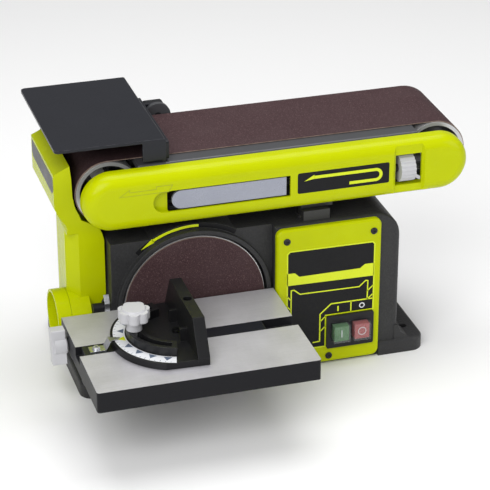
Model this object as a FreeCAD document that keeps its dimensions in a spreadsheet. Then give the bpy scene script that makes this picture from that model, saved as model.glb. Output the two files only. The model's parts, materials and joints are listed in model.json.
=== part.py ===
import FreeCAD, Part
import os
import math
import Sketcher

os.makedirs("parts", exist_ok=True)
doc = FreeCAD.newDocument("belt_disc_sander")

# All lengths in millimetres, all angles in degrees.
# +X runs to the right along the sanding belt, +Y to the rear, +Z up, z = 0 is the bench.
DIMENSIONS = {
    # base casting
    "base_half_x": 188.5, "base_front_y": -88, "base_back_y": 92, "foot_t": 16, "foot_corner_r": 14,
    "bench_x": 173, "bench_y": 60, "bench_hole_d": 8.5,
    "box_left_x": -151, "box_right_x": 158, "box_top_z": 167, "box_wall": 6, "box_corner_r": 28,
    "box_front_y": -74, "box_back_y": 68, "back_wall_t": 10,
    "panel_left_x": 19.7, "panel_front_y": -84, "panel_round": 5,
    # disc, its guard ring and the motor behind it
    "disc_x": -64.5, "disc_z": 91.5, "disc_r": 75, "disc_face_y": -79.6, "disc_plate_t": 7,
    "abrasive_t": 1.2, "ring_r": 82, "ring_bore_r": 77.5, "ring_front_y": -81.2, "shroud_r": 88,
    "shroud_back_y": -36, "recess_y": -68, "motor_r": 52, "motor_front_y": -62, "motor_back_y": 40,
    "motor_shaft_r": 7, "bearing_r": 17.5, "bearing_w": 11,
    # drive line
    "drive_x": -146.5, "arm_z": 215.5, "drum_r": 33.3, "drum_front_y": -53.5, "drum_back_y": 49,
    "drum_wall": 4, "drive_shaft_r": 7.5, "sleeve_r": 20, "sleeve_bore_r": 16, "pulley_r": 17,
    "pulley_y": 73, "pulley_w": 12, "ribbed_belt_t": 2.4, "ribbed_belt_w": 9, "column_r": 50,
    "lock_slot_r": 38, "lock_slot_w": 8.8,
    # sanding belt and platen
    "centre_distance": 350, "belt_gap": 0.3, "belt_t": 0.9, "belt_front_y": -52, "belt_back_y": 48,
    "platen_left_x": -119, "platen_right_x": 178, "platen_front_y": -70, "platen_back_y": 50.6,
    "platen_top_z": 248.6, "platen_t": 6, "flange_t": 4, "flange_bottom_z": 196,
    "rear_plate_y": 51, "rear_plate_t": 5, "rear_plate_half_h": 26,
    # side cover
    "cover_left_x": -149.4, "cover_right_x": 198.5, "cover_z": 217.5, "cover_r": 30.5, "cover_front_y": -91,
    "cover_back_y": -72, "cover_wall": 2.5, "cover_round": 13,
    # belt tension lever and tracking knob
    "lever_pin_x": -73, "lever_pin_y": -80, "lever_left_x": -90, "lever_right_x": 30,
    "lever_half_h": 10, "lever_t": 3.2, "lever_front_y": -89.5, "rod_r": 4, "knob_left_x": 153,
    "knob_w": 16, "knob_r": 14.5,
    # work stop
    "stop_left_x": -203, "stop_right_x": -90, "stop_front_y": -70, "stop_back_y": 99,
    "stop_top_z": 275, "stop_t": 3, "stop_foot_z": 251, "stop_pivot_x": -67, "stop_pivot_z": 247,
    # dust hood
    "hood_left_x": -203, "hood_front_y": -56, "hood_back_y": 50.4, "hood_wall": 2.5,
    "hood_bore_r": 36.8, "duct_left_x": -191.5, "duct_right_x": -153, "duct_back_y": -6,
    "duct_bottom_z": 56, "duct_chamfer": 12, "barrel_r": 32.8, "barrel_right_x": -171,
    "port_y": -40, "port_z": 74.7, "port_r": 30.3, "port_left_x": -206,
    # disc table
    "table_left_x": -206, "table_right_x": 19, "table_front_y": -240, "table_back_y": -82.4,
    "table_top_z": 97, "table_h": 22, "table_plate_t": 7, "skirt_t": 4,
    "slot_y": -155.7, "slot_w": 19.2, "slot_h": 9.5, "pivot_y": -108, "pivot_z": 80,
    # mitre gauge
    "bar_left_x": -200, "bar_right_x": -14, "bar_w": 18.6, "bar_h": 8.9, "mitre_x": -105,
    "mitre_r": 66, "mitre_plate_t": 7, "mitre_slot_r": 43, "fence_face_x": -88, "fence_t": 12,
    "fence_half": 62.5, "fence_top_half": 43, "fence_h": 43,
    # switch
    "switch_left_x": 20.2, "switch_right_x": 134.8, "switch_bottom_z": 3, "switch_top_z": 165,
    "switch_plate_t": 6, "housing_x": 101, "housing_z": 40, "housing_w": 52, "housing_h": 38,
    "housing_t": 3.5, "button_w": 18.8, "button_h": 19.8, "button_pitch": 22.6, "cap_out": 8,
}

sheet = doc.addObject("Spreadsheet::Sheet", "Dims")
for row, (alias, number) in enumerate(DIMENSIONS.items(), start=1):
    sheet.set(f"A{row}", alias)
    sheet.set(f"B{row}", str(number))
    sheet.setAlias(f"B{row}", alias)
doc.recompute()


class Val:
    """A length that carries its number and the spreadsheet expression it comes from."""

    def __init__(self, number, text):
        self.number = number
        self.text = text

    def __add__(self, other):
        other = val(other)
        return Val(self.number + other.number, f"({self.text} + {other.text})")

    def __sub__(self, other):
        other = val(other)
        return Val(self.number - other.number, f"({self.text} - {other.text})")

    def __rsub__(self, other):
        return val(other) - self

    def __mul__(self, factor):
        return Val(self.number * factor, f"({self.text} * {factor})")

    def __neg__(self):
        return self * -1

    __radd__ = __add__
    __rmul__ = __mul__


def val(x):
    return x if isinstance(x, Val) else Val(float(x), f"({float(x)})")


class Sheet:
    """Attribute access to the cells: d.disc_r is the cell with that alias."""

    def __getattr__(self, alias):
        return Val(float(DIMENSIONS[alias]), f"Dims.{alias}")


d = Sheet()
PLANE = {"X": "YZ_Plane", "Y": "XZ_Plane", "Z": "XY_Plane"}
nodes = []


def new_body(label, node=True):
    body = doc.addObject("PartDesign::Body", label)
    body.Label = label
    if node:
        nodes.append(body)
    return body


def new_sketch(body, axis, shift):
    """A sketch on the body's origin plane normal to axis, moved by shift in its own frame."""
    sketch = body.newObject("Sketcher::SketchObject", "Sketch")
    plane = next(f for f in body.Origin.OriginFeatures if f.Role == PLANE[axis])
    sketch.AttachmentSupport = [(plane, "")]
    sketch.MapMode = "FlatFace"
    for name, amount in zip("xyz", shift):
        sketch.setExpression(f".AttachmentOffset.Base.{name}", val(amount).text)
    return sketch


def drive(sketch, kind, first, last, amount):
    amount = val(amount)
    index = sketch.addConstraint(Sketcher.Constraint(kind, *first, *last, amount.number))
    sketch.setExpression(f"Constraints[{index}]", amount.text)


def fix_point(sketch, geometry, point, x, y):
    drive(sketch, "DistanceX", (-1, 1), (geometry, point), x)
    drive(sketch, "DistanceY", (-1, 1), (geometry, point), y)


def circle(x, y, r):
    def draw(sketch):
        centre = FreeCAD.Vector(val(x).number, val(y).number, 0)
        index = sketch.addGeometry(Part.Circle(centre, FreeCAD.Vector(0, 0, 1), val(r).number), False)
        fix_point(sketch, index, 3, x, y)
        drive(sketch, "Radius", (index,), (), r)
    return draw


def polygon(*points):
    def draw(sketch):
        corners = [FreeCAD.Vector(val(x).number, val(y).number, 0) for x, y in points]
        first = sketch.GeometryCount
        count = len(corners)
        for i in range(count):
            sketch.addGeometry(Part.LineSegment(corners[i], corners[(i + 1) % count]), False)
        for i in range(count):
            after = first + (i + 1) % count
            sketch.addConstraint(Sketcher.Constraint("Coincident", first + i, 2, after, 1))
            fix_point(sketch, first + i, 1, *points[i])
    return draw


def rectangle(x0, y0, x1, y1):
    return polygon((x0, y0), (x1, y0), (x1, y1), (x0, y1))


def prism(body, axis, start, length, *outlines, cut=False):
    """Pads (or pockets) the outlines from start towards the positive axis direction."""
    depth = -val(start) if axis == "Y" else val(start)
    sketch = new_sketch(body, axis, (0, 0, depth))
    for draw in outlines:
        draw(sketch)
    feature = body.newObject("PartDesign::Pocket" if cut else "PartDesign::Pad", "Prism")
    feature.Profile = sketch
    feature.setExpression("Length", val(length).text)
    feature.Reversed = (axis == "Y") != cut
    sketch.Visibility = False
    return feature


def turned(body, axis, a, b, points, cut=False):
    """Revolves a closed outline of (radius, position along axis) about the line through a, b."""
    if axis == "Y":
        sketch = new_sketch(body, "Z", (a, 0, b))
    elif axis == "Z":
        sketch = new_sketch(body, "Y", (a, 0, -val(b)))
    else:
        sketch = new_sketch(body, "Y", (0, b, -val(a)))
    if axis == "X":
        points = [(along, radius) for radius, along in points]
    polygon(*points)(sketch)
    feature = body.newObject("PartDesign::Groove" if cut else "PartDesign::Revolution", "Turned")
    feature.Profile = sketch
    feature.ReferenceAxis = (sketch, ["H_Axis" if axis == "X" else "V_Axis"])
    feature.Angle = 360
    sketch.Visibility = False
    return feature


def polar(body, feature, axis_sketch, count, line="V_Axis"):
    pattern = body.newObject("PartDesign::PolarPattern", "Pattern")
    pattern.Originals = [feature]
    pattern.Axis = (axis_sketch, [line])
    pattern.Angle = 360
    pattern.Occurrences = count
    body.Tip = pattern
    return pattern


def inside(edge, **limits):
    box = edge.BoundBox
    spans = {"x": (box.XMin, box.XMax), "y": (box.YMin, box.YMax), "z": (box.ZMin, box.ZMax)}
    return all(spans[k][0] >= lo - 0.01 and spans[k][1] <= hi + 0.01 for k, (lo, hi) in limits.items())


def span(edge, axis):
    box = edge.BoundBox
    return {"x": box.XLength, "y": box.YLength, "z": box.ZLength}[axis]


def round_edges(body, radius, pick, kind="PartDesign::Fillet"):
    doc.recompute()
    base = body.Tip
    names = [f"Edge{i}" for i, edge in enumerate(base.Shape.Edges, start=1) if pick(edge)]
    feature = body.newObject(kind, "Round")
    feature.Base = (base, names)
    feature.setExpression("Radius" if kind.endswith("Fillet") else "Size", val(radius).text)
    return feature


def ring(r_in, r_out, t0, t1):
    return [(r_in, t0), (r_out, t0), (r_out, t1), (r_in, t1)]


def shaft(r, t0, t1):
    return ring(0, r, t0, t1)


def group(label, members):
    compound = doc.addObject("Part::Compound", label)
    compound.Label = label
    compound.Links = members
    nodes.append(compound)
    return compound


def screw(label, axis, sign, a, b, seat, head_r, head_t, shank_r, shank_l):
    """A cross-head screw: the head stands on seat on the side sign points to."""
    body = new_body(label, node=False)
    top = val(seat) + sign * head_t
    tip = val(seat) - sign * val(shank_l)
    outline = [(0, top), (head_r * 0.7, top), (head_r, top - sign * head_t * 0.4), (head_r, seat),
               (shank_r, seat), (shank_r, tip), (0, tip)]
    turned(body, axis, a, b, outline)
    depth = head_t * 0.6
    start = top - depth if sign > 0 else top
    arm, half = head_r * 0.55, head_r * 0.12
    prism(body, axis, start, depth, rectangle(a - arm, b - half, a + arm, b + half), cut=True)
    prism(body, axis, start, depth, rectangle(a - half, b - arm, a + half, b + arm), cut=True)
    return body


def screw_row(label, axis, sign, places, seat, head_r, head_t, shank_r, shank_l):
    return [screw(f"{label}_{i}", axis, sign, val(a), val(b), seat, head_r, head_t, shank_r, shank_l)
            for i, (a, b) in enumerate(places, start=1)]


def screw_group(label, *details):
    return group(label, screw_row(label, *details))


def lug(body, axis, start, length, x0, y0, x1, y1, r, cut=False):
    """A straight bar with round ends of radius r between two points of one sketch plane."""
    x0, y0, x1, y1 = val(x0), val(y0), val(x1), val(y1)
    run = (x1.number - x0.number, y1.number - y0.number)
    size = math.hypot(*run)
    side = (-run[1] / size * val(r).number, run[0] / size * val(r).number)
    corners = [(x0 + side[0], y0 + side[1]), (x1 + side[0], y1 + side[1]),
               (x1 - side[0], y1 - side[1]), (x0 - side[0], y0 - side[1])]
    prism(body, axis, start, length, polygon(*corners), cut=cut)
    prism(body, axis, start, length, circle(x0, y0, r), cut=cut)
    prism(body, axis, start, length, circle(x1, y1, r), cut=cut)


def arc_slot(body, axis, start, length, x, y, radius, width, first_deg, last_deg, steps=16, cut=True):
    """A slot that follows an arc about x, y, drawn as short straight facets."""
    inner, outer = [], []
    for i in range(steps + 1):
        angle = math.radians(first_deg + (last_deg - first_deg) * i / steps)
        for points, shift in ((inner, -0.5), (outer, 0.5)):
            reach = val(radius) + val(width) * shift
            points.append((val(x) + reach * math.cos(angle), val(y) + reach * math.sin(angle)))
    prism(body, axis, start, length, polygon(*inner, *reversed(outer)), cut=cut)


# ---------------------------------------------------------------- base casting
casting = new_body("base_casting")
prism(casting, "Z", 0, d.foot_t,
      rectangle(-d.base_half_x, d.base_front_y, d.base_half_x, d.base_back_y))
round_edges(casting, d.foot_corner_r, lambda e: span(e, "z") > 11 and span(e, "x") < 0.1)
round_edges(casting, 4, lambda e: inside(e, z=(15.9, 16.1)))
prism(casting, "Y", d.box_front_y, d.box_back_y - d.box_front_y,
      rectangle(d.box_left_x, 0, d.box_right_x, d.box_top_z))
prism(casting, "Y", d.panel_front_y, 30, rectangle(d.panel_left_x, 0, d.box_right_x, d.box_top_z))
round_edges(casting, d.box_corner_r,
            lambda e: span(e, "y") > 20 and inside(e, x=(157.9, 158.1), z=(166.9, 167.1)))
round_edges(casting, d.panel_round,
            lambda e: inside(e, y=(-84.1, -83.9), x=(19.6, 158.1), z=(15.9, 167.1)) and
            (span(e, "z") > 1 or inside(e, z=(166.9, 167.1))))
# flare between the right wall and the foot
prism(casting, "Y", d.base_front_y + 3, d.base_back_y - d.base_front_y - 6,
      polygon((d.box_right_x - 4, 32), (d.box_right_x, 32), (d.box_right_x + 4, 23), (d.box_right_x + 13, d.foot_t),
              (d.box_right_x - 4, d.foot_t - 1)))
prism(casting, "Y", d.box_front_y, d.shroud_back_y - d.box_front_y,
      circle(d.disc_x, d.disc_z, d.shroud_r))
prism(casting, "Y", d.ring_front_y, 10, circle(d.disc_x, d.disc_z, d.ring_r))
# rear column that carries the belt arm pivot
column_y = d.box_back_y - d.back_wall_t
prism(casting, "Y", column_y, d.back_wall_t,
      polygon((d.box_left_x, 60), (d.drive_x - d.column_r, d.arm_z),
              (d.drive_x + d.column_r, d.arm_z), (d.disc_x, 150), (d.disc_x, 60)))
prism(casting, "Y", column_y, d.back_wall_t, circle(d.drive_x, d.arm_z, d.column_r))
# seat of the arm rest and the left ear beside the guard ring
prism(casting, "Y", d.box_front_y, 12, rectangle(-168, 40, d.box_left_x + 8, 90))
prism(casting, "Y", d.box_front_y, 12, rectangle(-168, 6, d.box_left_x + 8, 44))
# interior space for the motor and the switch, open to the bench
inner_right, inner_top = d.box_right_x - d.box_wall, d.box_top_z - d.box_wall
for left, start, depth in ((d.box_left_x, d.recess_y + d.box_wall, column_y - d.recess_y - d.box_wall),
                           (d.panel_left_x, d.panel_front_y + d.box_wall, 30)):
    prism(casting, "Y", start, depth,
          polygon((left + d.box_wall, -1), (inner_right, -1), (inner_right, inner_top - 16),
                  (inner_right - 16, inner_top), (left + d.box_wall, inner_top)), cut=True)
# disc recess, motor nose bore and rear shaft hole
prism(casting, "Y", d.ring_front_y - 1, d.recess_y - d.ring_front_y + 1,
      circle(d.disc_x, d.disc_z, d.ring_bore_r), cut=True)
prism(casting, "Y", d.recess_y - 1, 12, circle(d.disc_x, d.disc_z, 20), cut=True)
prism(casting, "Y", column_y - 1, 12, circle(d.disc_x, d.disc_z, 16), cut=True)
# bore for the pivot sleeve and the arc slot for the arm lock bolt
prism(casting, "Y", column_y - 1, 12, circle(d.drive_x, d.arm_z, d.sleeve_r), cut=True)
arc_slot(casting, "Y", column_y - 1, 12, d.drive_x, d.arm_z, d.lock_slot_r, d.lock_slot_w, 83, 187)
# opening behind the switch and the bench bolt holes
prism(casting, "Y", d.panel_front_y - 1, 10,
      rectangle(d.housing_x - 23.5, d.housing_z - 15, d.housing_x + 23.5, d.housing_z + 15), cut=True)
prism(casting, "Z", -1, 20,
      *[circle(sx * d.bench_x, sy * d.bench_y, d.bench_hole_d * 0.5) for sx in (-1, 1) for sy in (-1, 1)],
      cut=True)
# notch in the foot behind the lower end of the switch plate
prism(casting, "Z", -1, 20, rectangle(d.panel_left_x, d.base_front_y - 1, d.switch_right_x + 0.6, d.panel_front_y),
      cut=True)
# cord gland hole in the rear wall
prism(casting, "Y", column_y - 1, 12, circle(120, 40, 8), cut=True)

rest = new_body("arm_rest_post")
prism(rest, "Z", d.box_top_z, 11.2, rectangle(52.5, -78.5, 81, -60))
prism(rest, "Z", d.box_top_z, 3, rectangle(50, -70, 84, -56))

sleeve = new_body("pivot_sleeve")
turned(sleeve, "Y", d.drive_x, d.arm_z,
       [(d.sleeve_bore_r, 50.5), (d.sleeve_r, 50.5), (d.sleeve_r, d.box_back_y), (27, d.box_back_y),
        (27, d.box_back_y + 3.5), (d.sleeve_bore_r, d.box_back_y + 3.5)])


def bearing_group(label, axis_x, axis_z, r_in, r_out, starts, width):
    members = []
    for i, start in enumerate(starts, start=1):
        bearing = new_body(f"{label}_{i}", node=False)
        turned(bearing, "Y", axis_x, axis_z, ring(r_in + 0.03, r_out, start, val(start) + width))
        members.append(bearing)
    return group(label, members)


bearing_group("drive_bearings", d.drive_x, d.arm_z, d.drive_shaft_r, d.sleeve_bore_r, (51, 61.5), 9)

# ---------------------------------------------------------------- motor and disc
can = new_body("motor_housing")
turned(can, "Y", d.disc_x, d.disc_z,
       [(d.bearing_r, d.motor_front_y), (d.motor_r - 4, d.motor_front_y), (d.motor_r, -56), (d.motor_r, 34),
        (d.motor_r - 4, d.motor_back_y), (d.bearing_r, d.motor_back_y), (d.bearing_r, 27),
        (45, 27), (45, -48), (d.bearing_r, -48)])

stator = new_body("stator")
turned(stator, "Y", d.disc_x, d.disc_z, ring(31, 45, -32, 10))

bearing_group("motor_bearings", d.disc_x, d.disc_z, d.motor_shaft_r, d.bearing_r, (-60, 28), d.bearing_w)

motor_shaft = new_body("motor_shaft")
turned(motor_shaft, "Y", d.disc_x, d.disc_z, shaft(d.motor_shaft_r, -76, 85))

rotor = new_body("rotor")
turned(rotor, "Y", d.disc_x, d.disc_z, ring(d.motor_shaft_r, 30.4, -32, 10))

fan = new_body("motor_fan")
turned(fan, "Y", d.disc_x, d.disc_z, ring(d.motor_shaft_r, 14, 44, 52))
blade = prism(fan, "Y", 44, 8, rectangle(d.disc_x - 1.2, d.disc_z + 12, d.disc_x + 1.2, d.disc_z + 42))
hub_sketch = fan.Group[0]
polar(fan, blade, hub_sketch, 9)

plate_y = d.disc_face_y + d.abrasive_t
disc_plate = new_body("disc_plate")
turned(disc_plate, "Y", d.disc_x, d.disc_z,
       [(d.motor_shaft_r, -76), (0, -76), (0, plate_y), (d.disc_r, plate_y), (d.disc_r, plate_y + 4.5),
        (d.disc_r - 4, plate_y + d.disc_plate_t), (16, plate_y + d.disc_plate_t), (16, -65),
        (d.motor_shaft_r, -65)])

abrasive = new_body("abrasive_disc")
turned(abrasive, "Y", d.disc_x, d.disc_z, shaft(d.disc_r - 0.8, d.disc_face_y, plate_y))

pulley_back = d.pulley_y + d.pulley_w
for label, x, z, bore in (("motor_pulley", d.disc_x, d.disc_z, d.motor_shaft_r),
                          ("driven_pulley", d.drive_x, d.arm_z, d.drive_shaft_r)):
    pulley = new_body(label)
    turned(pulley, "Y", x, z,
           [(bore, d.pulley_y), (d.pulley_r + 3, d.pulley_y), (d.pulley_r + 3, d.pulley_y + 1),
            (d.pulley_r, d.pulley_y + 1), (d.pulley_r, pulley_back - 1),
            (d.pulley_r + 3, pulley_back - 1), (d.pulley_r + 3, pulley_back), (bore, pulley_back)])


def belt_loop(body, start, width, x0, z0, x1, z1, r_in, thickness):
    """A closed belt around two equal wheels."""
    r_out = r_in + thickness
    lug(body, "Y", start, width, x0, z0, x1, z1, r_out)
    lug(body, "Y", start - 1, width + 2, x0, z0, x1, z1, r_in, cut=True)


ribbed = new_body("drive_ribbed_belt")
belt_loop(ribbed, d.pulley_y + 1.5, d.ribbed_belt_w, d.drive_x, d.arm_z, d.disc_x, d.disc_z,
          d.pulley_r + 0.3, d.ribbed_belt_t)

rear_cover = new_body("rear_cover")
lug(rear_cover, "Y", d.box_back_y, 22, d.drive_x, d.arm_z, d.disc_x, d.disc_z, 29)
prism(rear_cover, "Y", d.box_back_y, 22, circle(d.disc_x, d.disc_z, 46))
round_edges(rear_cover, 1.2, lambda e: inside(e, y=(89.9, 90.1)), kind="PartDesign::Chamfer")
lug(rear_cover, "Y", d.box_back_y - 1, 20.5, d.drive_x, d.arm_z, d.disc_x, d.disc_z, 27.4, cut=True)
prism(rear_cover, "Y", d.box_back_y - 1, 20.5, circle(d.disc_x, d.disc_z, 43.5), cut=True)
for step in range(-3, 4):
    z = d.disc_z - 8 + 7 * step
    prism(rear_cover, "Y", 80, 12, rectangle(d.disc_x - 26, z, d.disc_x + 26, z + 3), cut=True)
rear_screws = ((-117.5, 80), (-20.5, 118), (-118, 236.5))
for x, z in rear_screws:
    prism(rear_cover, "Y", d.box_back_y, 4, circle(x, z, 6.5))
housing_screws = screw_row("rear_cover_screw", "Y", 1, rear_screws, d.box_back_y + 4,
                           3.6, 2.4, 1.9, 10)

# ---------------------------------------------------------------- driven drum
drum = new_body("drive_drum")
turned(drum, "Y", d.drive_x, d.arm_z,
       [(d.drive_shaft_r, 0), (d.drive_shaft_r, d.drum_back_y), (14, d.drum_back_y), (14, 24),
        (d.drum_r - d.drum_wall, 14), (d.drum_r - d.drum_wall, d.drum_back_y), (d.drum_r, d.drum_back_y),
        (d.drum_r, d.drum_front_y), (d.drum_r - d.drum_wall, d.drum_front_y),
        (d.drum_r - d.drum_wall, 6), (14, 0)])

drive_shaft = new_body("drive_shaft")
turned(drive_shaft, "Y", d.drive_x, d.arm_z, shaft(d.drive_shaft_r, -4, 85))

# ---------------------------------------------------------------- belt arm
idler_x = d.drive_x + d.centre_distance
sanding_belt = new_body("sanding_belt")
belt_loop(sanding_belt, d.belt_front_y, d.belt_back_y - d.belt_front_y, d.drive_x, d.arm_z,
          idler_x, d.arm_z, d.drum_r + d.belt_gap, d.belt_t)

frame = new_body("platen_frame")
platen_depth = d.platen_back_y - d.platen_front_y
prism(frame, "Z", d.platen_top_z - d.platen_t, d.platen_t,
      rectangle(d.platen_left_x, d.platen_front_y, d.platen_right_x, d.platen_back_y))
for y, left, right in ((d.platen_front_y, d.platen_left_x, d.platen_right_x),
                       (d.platen_back_y - d.flange_t, d.platen_left_x + 9, d.platen_right_x - 16)):
    prism(frame, "Z", d.flange_bottom_z, d.platen_top_z - d.flange_bottom_z,
          rectangle(left, y, right, y + d.flange_t))
for x in (-40, 40, 120):
    prism(frame, "Z", 222, 20, rectangle(x, d.platen_front_y + 1, x + 5, d.platen_back_y - 1))
round_edges(frame, 3, lambda e: span(e, "x") > 200 and inside(e, y=(-70.1, -69.9), z=(248.5, 248.7)))
# windows for the lever heel, the tracking knob and the lifting slots at both drums
prism(frame, "Y", d.platen_front_y - 1, 6, rectangle(-98, 200, -46, 231), cut=True)
prism(frame, "Y", d.platen_front_y - 1, 6, rectangle(142, 195, 179, 234), cut=True)

rear_plate = new_body("rear_plate")
prism(rear_plate, "Y", d.rear_plate_y, d.rear_plate_t,
      rectangle(d.drive_x, d.arm_z - d.rear_plate_half_h, idler_x, d.arm_z + d.rear_plate_half_h))
prism(rear_plate, "Y", d.rear_plate_y, d.rear_plate_t, circle(d.drive_x, d.arm_z, 47))
prism(rear_plate, "Y", d.rear_plate_y, d.rear_plate_t, circle(idler_x, d.arm_z, d.rear_plate_half_h))
prism(rear_plate, "Y", d.rear_plate_y, d.rear_plate_t,
      rectangle(d.stop_pivot_x - 14, 230, d.stop_pivot_x + 14, d.stop_pivot_z))
prism(rear_plate, "Y", d.rear_plate_y, d.rear_plate_t, circle(d.stop_pivot_x, d.stop_pivot_z, 14))
prism(rear_plate, "Y", d.rear_plate_y - 1, 8, circle(d.drive_x, d.arm_z, d.sleeve_r + 0.05), cut=True)
prism(rear_plate, "Y", d.rear_plate_y - 1, 8, circle(d.drive_x, d.arm_z + d.lock_slot_r, 4), cut=True)
prism(rear_plate, "Y", d.rear_plate_y - 1, 8, circle(d.stop_pivot_x, d.stop_pivot_z, 4.06), cut=True)
lug(rear_plate, "Y", d.rear_plate_y - 1, 8, idler_x - 8, d.arm_z, idler_x + 2, d.arm_z, 6.4, cut=True)

arm_screws = screw_row("frame_screw", "Y", 1, ((-20, 206), (-20, 230), (100, 206), (100, 230)),
                       d.rear_plate_y + d.rear_plate_t, 3.6, 2.2, 1.8, 8)

rest_tab = new_body("arm_rest_tab")
prism(rest_tab, "Z", 178.5, 5, rectangle(52, -71.5, 86, -57))
prism(rest_tab, "Z", 178.5, 38, rectangle(52, -66, 86, -61.5))

lock_bolt = new_body("arm_lock_bolt")
turned(lock_bolt, "Y", d.drive_x, d.arm_z + d.lock_slot_r,
       [(0, 51), (4, 51), (4, d.box_back_y + 0.3), (8.2, d.box_back_y + 0.3), (8.2, d.box_back_y + 2),
        (7, d.box_back_y + 2), (7, d.box_back_y + 8), (0, d.box_back_y + 8)])


# ---------------------------------------------------------------- side cover
cover = new_body("side_cover")
lug(cover, "Y", d.cover_front_y, d.cover_back_y - d.cover_front_y,
    d.cover_left_x, d.cover_z, d.cover_right_x, d.cover_z, d.cover_r)
round_edges(cover, d.cover_round, lambda e: inside(e, y=(-91.1, -90.9)))
inner_r = d.cover_r - d.cover_wall
lug(cover, "Y", d.cover_front_y + 13.5, 20, d.cover_left_x, d.cover_z, d.cover_right_x, d.cover_z,
    inner_r, cut=True)
lug(cover, "Y", d.cover_front_y + d.cover_wall, 20, d.cover_left_x, d.cover_z, d.cover_right_x, d.cover_z,
    inner_r - 8.5, cut=True)
# floor of the finger recess beside the lever and walls beside the knob window
prism(cover, "Y", d.cover_front_y + 1.5, 7.5, rectangle(-112, d.arm_z - 15, -93.5, d.arm_z + 15))
prism(cover, "Y", d.cover_front_y + 1.5, 4.5,
      rectangle(d.knob_left_x - 10, d.arm_z - 24, d.knob_left_x + 31, d.arm_z + 24))
lug(cover, "Y", d.cover_front_y - 1, 8, -98, d.arm_z, -88, d.arm_z, 11.5, cut=True)
prism(cover, "Y", d.cover_front_y - 3, 12,
      rectangle(-93.4, d.arm_z - 11.5, d.lever_right_x + 4, d.arm_z + 11.5), cut=True)
# tracking knob window and the trapezoid scoop that runs across it from edge to edge
window_left, window_right = d.knob_left_x - 4.9, d.knob_left_x + d.knob_w + 7.6
prism(cover, "Y", d.cover_front_y - 3, 30,
      rectangle(window_left, d.arm_z - 16.5, window_right, d.arm_z + 17.5), cut=True)
prism(cover, "Z", d.cover_z - 40, 80,
      polygon((window_left - 4, d.cover_front_y - 1), (window_left, d.cover_front_y + 3),
              (window_right, d.cover_front_y + 3), (window_right + 4, d.cover_front_y - 1)), cut=True)
# bosses that seat on the platen flange
for x, z in ((-58, 238), (60, 238), (140, 238), (108, 203)):
    prism(cover, "Y", d.cover_front_y + 2, d.platen_front_y - d.cover_front_y - 2, circle(x, z, 3.4))

group("arm_screws", arm_screws + screw_row(
    "cover_screw", "Y", 1, ((-58, 238), (60, 238), (140, 238), (108, 203)),
    d.platen_front_y + d.flange_t, 3.6, 2.2, 1.8, 12))

# ---------------------------------------------------------------- tension lever and tracking
lever = new_body("tension_lever")
lug(lever, "Y", d.lever_front_y, d.lever_t, d.lever_left_x + 10, d.arm_z, d.lever_left_x + 30, d.arm_z,
    d.lever_half_h)
prism(lever, "Y", d.lever_front_y, d.lever_t,
      rectangle(d.lever_left_x + 12, d.arm_z - d.lever_half_h, d.lever_right_x, d.arm_z + d.lever_half_h))
prism(lever, "Z", d.arm_z - 8, 16, circle(d.lever_pin_x, d.lever_pin_y, 6))
prism(lever, "Z", d.arm_z - 8, 16, circle(d.lever_pin_x + 4.5, d.lever_pin_y, 8.5))
prism(lever, "Z", d.arm_z - 9, 18, circle(d.lever_pin_x, d.lever_pin_y, 3.05), cut=True)

bracket = new_body("lever_bracket")
for z in (-13.6, 10.6):
    lug(bracket, "Z", d.arm_z + z, 3, d.lever_pin_x, d.lever_pin_y, d.lever_pin_x, -72, 5)
    prism(bracket, "Z", d.arm_z + z, 3, rectangle(-79, -72, -67, -61.4))
    prism(bracket, "Z", d.arm_z + z, 3, rectangle(-101, -66, -43, -61.4))
prism(bracket, "Z", d.arm_z - 13.6, 27.2, rectangle(-45.6, -66, -43, -61.4))
prism(bracket, "Z", d.arm_z - 14, 28, circle(d.lever_pin_x, d.lever_pin_y, 3), cut=True)

pin = new_body("lever_pin")
turned(pin, "Z", d.lever_pin_x, d.lever_pin_y, shaft(3, d.arm_z - 13.6, d.arm_z + 13.6))

rod = new_body("tension_rod")
rod_left = d.lever_pin_x + 14.2
turned(rod, "X", d.lever_pin_y, d.arm_z, shaft(d.rod_r, rod_left, idler_x - 8))

axle = new_body("idler_axle")
turned(axle, "Y", idler_x, d.arm_z, shaft(6, -68.5, 60))
prism(axle, "Y", -87, 18.5, rectangle(idler_x - 8, d.arm_z - 8, idler_x + 8, d.arm_z + 8))

carriage = new_body("idler_carriage_block")
prism(carriage, "Y", 56.3, 6, rectangle(idler_x - 20, d.arm_z - 16, idler_x + 20, d.arm_z + 16))
round_edges(carriage, 4, lambda e: span(e, "y") > 5 and span(e, "x") < 0.1)
prism(carriage, "Y", 55, 10, circle(idler_x, d.arm_z, 6), cut=True)

idler = new_body("idler_drum")
turned(idler, "Y", idler_x, d.arm_z,
       [(13, -48), (13, 42), (d.drum_r - d.drum_wall, 36), (d.drum_r - d.drum_wall, d.drum_back_y),
        (d.drum_r, d.drum_back_y), (d.drum_r, d.drum_front_y),
        (d.drum_r - d.drum_wall, d.drum_front_y), (d.drum_r - d.drum_wall, -42)])

bearing_group("idler_bearings", idler_x, d.arm_z, 6.03, 13, (-47, 31), 10)

knob = new_body("tracking_knob")
turned(knob, "X", d.lever_pin_y, d.arm_z,
       ring(d.rod_r + 0.06, d.knob_r, d.knob_left_x, d.knob_left_x + d.knob_w))
knob_sketch = knob.Group[0]
groove = prism(knob, "X", d.knob_left_x - 1, 18,
               circle(d.lever_pin_y, d.arm_z + d.knob_r + 0.6, 1.5), cut=True)
polar(knob, groove, knob_sketch, 20, "H_Axis")

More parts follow.
